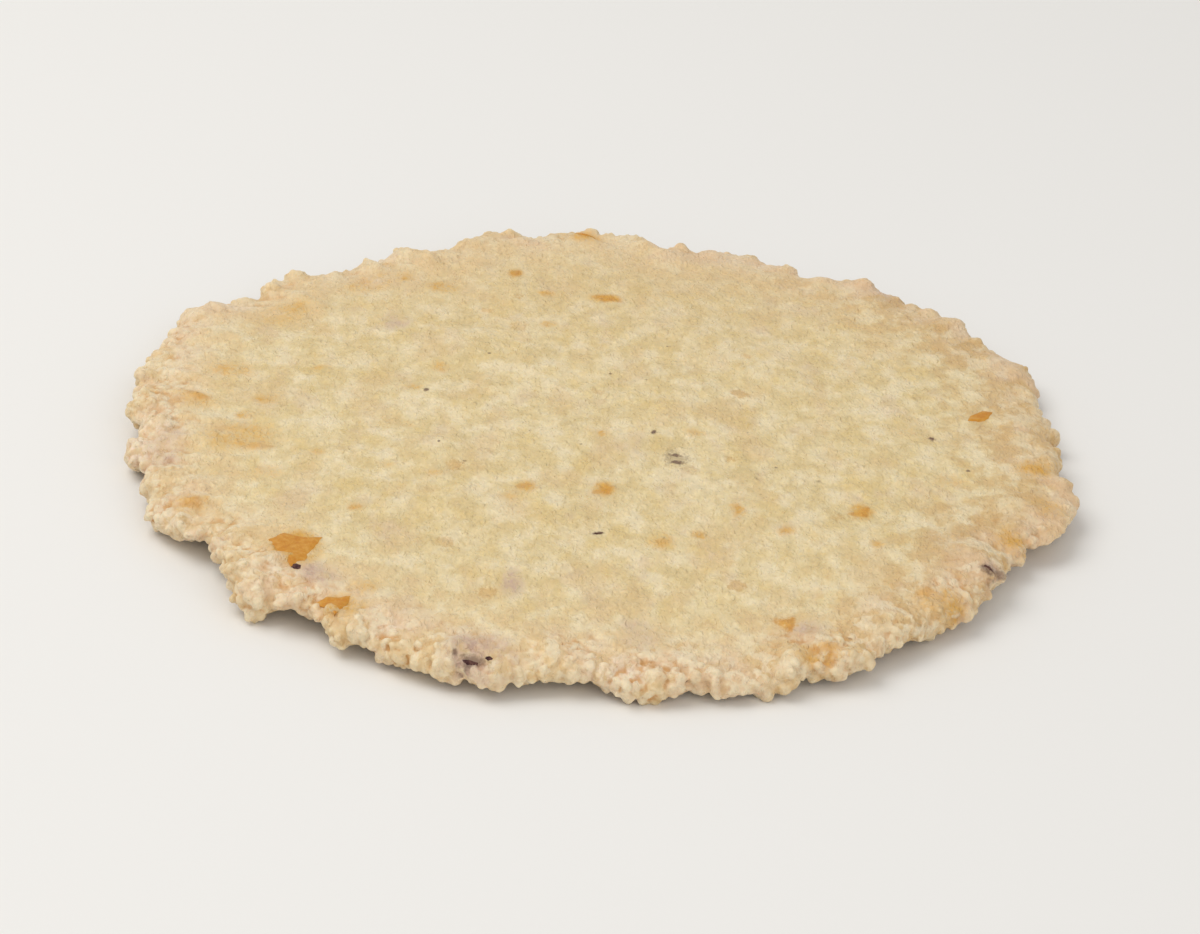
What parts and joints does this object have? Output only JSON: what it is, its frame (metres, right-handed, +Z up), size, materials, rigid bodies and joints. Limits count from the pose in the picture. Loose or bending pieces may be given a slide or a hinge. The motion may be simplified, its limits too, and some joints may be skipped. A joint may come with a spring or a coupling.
{
  "type": "japanese rice cracker",
  "caption": "Thin round puffed rice cracker with a beaded, uneven rim and shrimp flecks, a snack that is eaten by hand.",
  "frame": {"origin": "centre of the bottom of the bounding box, on the surface that the cracker lies on", "axes": "+Z up through the thickness, +X along the longest side of the outline, -Y towards the most beaded edge"},
  "size_m": [0.1032, 0.1012, 0.0057],
  "materials": {
    "baked_dough": "matt, dry, papery face with pale puffed beads round the rim"
  },
  "bodies": {
    "root": {"cracker": "baked_dough"}
  },
  "joints": []
}
